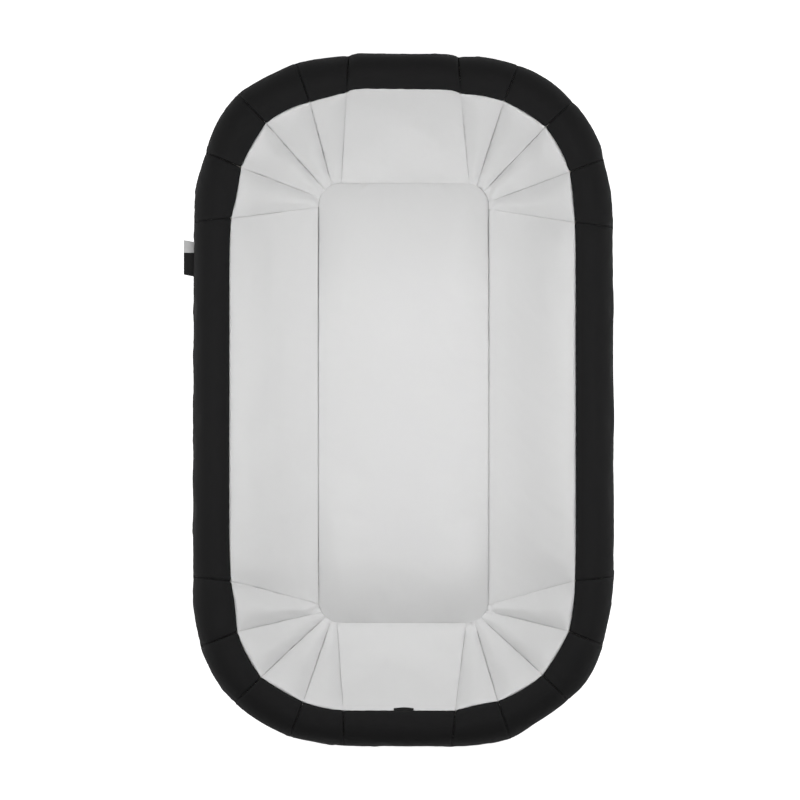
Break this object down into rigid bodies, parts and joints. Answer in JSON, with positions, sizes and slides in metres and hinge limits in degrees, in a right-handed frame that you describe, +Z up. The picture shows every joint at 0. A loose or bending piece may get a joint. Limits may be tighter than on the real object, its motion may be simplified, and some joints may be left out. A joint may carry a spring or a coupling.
{
  "type": "infant lounger",
  "caption": "Shallow quilted oblong nest: crowned grey floor pad, sloping padded walls with fan pleated corners, a black padded rim and a zipped cover.",
  "frame": {"origin": "middle of the flat underside, on the ground", "axes": "+Z up, +Y towards the head end along the length, +X to the right seen from above, where the zip is"},
  "size_m": [0.5738, 0.9204, 0.121],
  "materials": {
    "grey_cloth": "smooth light grey knit, matt",
    "black_cloth": "smooth black knit, matt",
    "label_cloth": "woven ribbon, bare",
    "foam": "open cell foam",
    "zip_tape": "woven tape",
    "zip_teeth": "moulded, satin",
    "zip_metal": "black lacquer"
  },
  "bodies": {
    "cover": {"floor_pad": "grey_cloth", "floor_core": "foam", "base_panel": "black_cloth", "head_wall_pad": "grey_cloth", "head_rim": "black_cloth", "head_skirt": "black_cloth", "head_wall_core": "foam", "left_wall_pad": "grey_cloth", "left_rim": "black_cloth", "left_skirt": "black_cloth", "left_wall_core": "foam", "foot_wall_pad": "grey_cloth", "foot_rim": "black_cloth", "foot_skirt": "black_cloth", "foot_wall_core": "foam", "right_wall_pad": "grey_cloth", "right_rim": "black_cloth", "right_skirt": "black_cloth", "right_wall_core": "foam", "head_right_wedge_1": "grey_cloth", "head_right_rim_1": "black_cloth", "head_right_wedge_2": "grey_cloth", "head_right_rim_2": "black_cloth", "head_right_wedge_3": "grey_cloth", "head_right_rim_3": "black_cloth", "head_right_wedge_4": "grey_cloth", "head_right_rim_4": "black_cloth", "head_left_wedge_1": "grey_cloth", "head_left_rim_1": "black_cloth", "head_left_wedge_2": "grey_cloth", "head_left_rim_2": "black_cloth", "head_left_wedge_3": "grey_cloth", "head_left_rim_3": "black_cloth", "head_left_wedge_4": "grey_cloth", "head_left_rim_4": "black_cloth", "foot_left_wedge_1": "grey_cloth", "foot_left_rim_1": "black_cloth", "foot_left_wedge_2": "grey_cloth", "foot_left_rim_2": "black_cloth", "foot_left_wedge_3": "grey_cloth", "foot_left_rim_3": "black_cloth", "foot_left_wedge_4": "grey_cloth", "foot_left_rim_4": "black_cloth", "foot_right_wedge_1": "grey_cloth", "foot_right_rim_1": "black_cloth", "foot_right_wedge_2": "grey_cloth", "foot_right_rim_2": "black_cloth", "foot_right_wedge_3": "grey_cloth", "foot_right_rim_3": "black_cloth", "foot_right_wedge_4": "grey_cloth", "foot_right_rim_4": "black_cloth", "flag_label": "label_cloth", "care_label": "label_cloth", "zip_tape": "zip_tape", "zip_teeth": "zip_teeth", "zip_stop_head": "zip_metal", "zip_stop_foot": "zip_metal"},
    "slider": {"zip_slider": "zip_metal"},
    "pull": {"zip_pull": "zip_metal"}
  },
  "joints": [
    {"name": "slider_slide", "type": "slide", "parent": "cover", "child": "slider", "axis": [0, -1, 0], "range_m": [0, 0.378]},
    {"name": "pull_flip", "type": "hinge", "parent": "slider", "child": "pull", "pos_m": [0.2756, 0.1892, 0.054], "axis": [0, 0, 1], "range_deg": [0, 180]}
  ]
}
